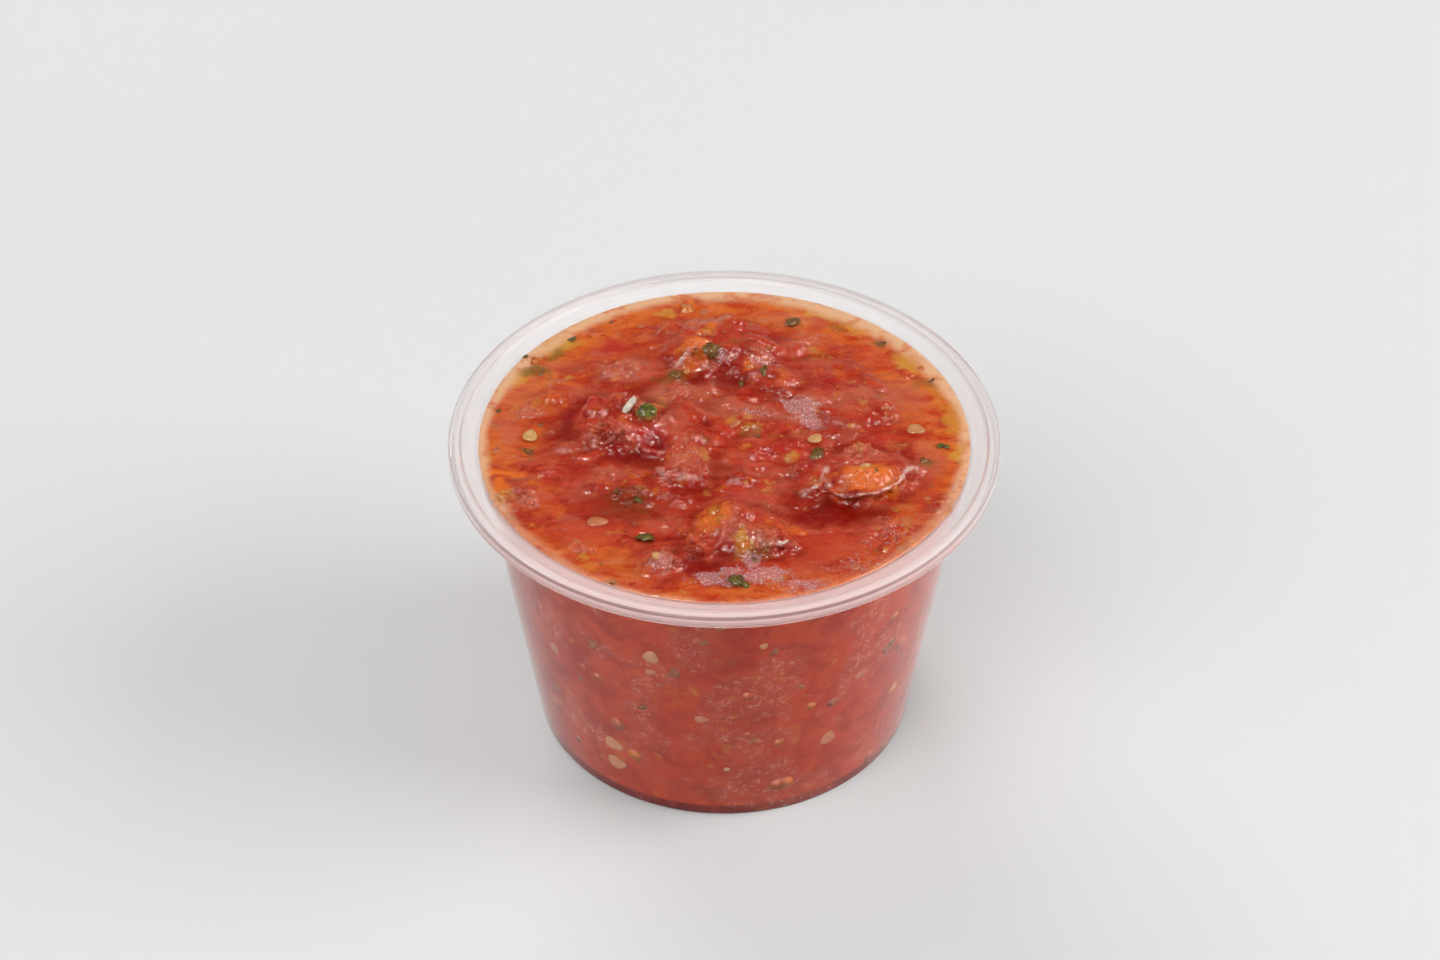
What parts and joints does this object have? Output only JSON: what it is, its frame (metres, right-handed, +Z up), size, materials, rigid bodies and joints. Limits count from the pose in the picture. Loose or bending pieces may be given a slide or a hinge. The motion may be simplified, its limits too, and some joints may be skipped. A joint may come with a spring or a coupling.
{
  "type": "spicy tomato salad in a portion cup",
  "caption": "Round clear plastic portion cup filled to the brim with wet, crushed spicy tomato salad with seeds, flakes and green herb bits.",
  "frame": {"origin": "middle of the plane that the cup's foot stands on, on the cup's axis", "axes": "+Z up along the cup's axis, towards the open mouth; -Y towards the camera of the reference picture; +X to its right"},
  "size_m": [0.074, 0.074, 0.0492],
  "materials": {
    "clear_plastic": "clear, thin, glossy polypropylene",
    "tomato_salad": "wet crushed tomato with orange juice, seeds and green bits"
  },
  "bodies": {
    "root": {"cup": "clear_plastic", "salad": "tomato_salad"}
  },
  "joints": []
}
